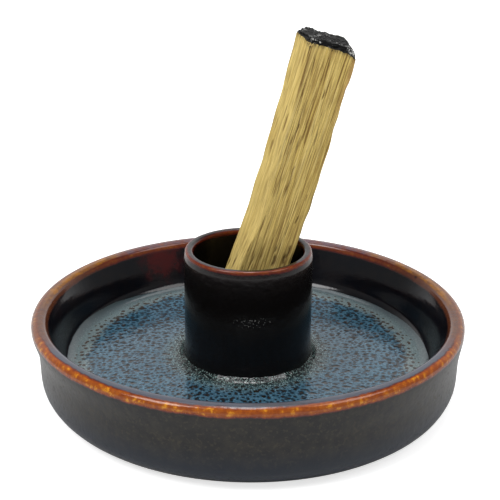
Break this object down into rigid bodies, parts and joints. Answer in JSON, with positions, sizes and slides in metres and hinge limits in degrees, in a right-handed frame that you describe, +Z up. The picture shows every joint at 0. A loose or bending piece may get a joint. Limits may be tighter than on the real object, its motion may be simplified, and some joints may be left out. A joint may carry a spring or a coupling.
{
  "type": "palo santo holder",
  "caption": "Round glazed ceramic dish with a straight-sided cup standing in its middle, holding a leaning stick of split aromatic wood with a charred end.",
  "frame": {"origin": "on the dish's axis, at the height of the surface that its foot ring stands on", "axes": "+Z up along the axis of the dish and cup; +X the side that the stick leans towards; -Y the front, which the picture shows"},
  "size_m": [0.128, 0.128, 0.1089],
  "materials": {
    "dish_glaze": "satin dark grey glaze with a rust-brown rim",
    "cup_glaze": "glossy near-black glaze with a thin rust-red rim",
    "coil_glaze": "glossy grey-blue glaze",
    "pool_glaze": "glossy pooled blue glaze with brown dimples",
    "split_wood": "raw split wood",
    "char": "burnt black"
  },
  "bodies": {
    "holder": {"dish": "dish_glaze", "cup": "cup_glaze", "luting_coil": "coil_glaze", "glaze_pool": "pool_glaze"},
    "stick": {"palo_santo_stick": "split_wood", "charred_tip": "char"}
  },
  "joints": [
    {"name": "stick_lift", "type": "slide", "parent": "holder", "child": "stick", "axis": [0.2852, 0, 0.9585], "range_m": [0, 0.05]}
  ]
}
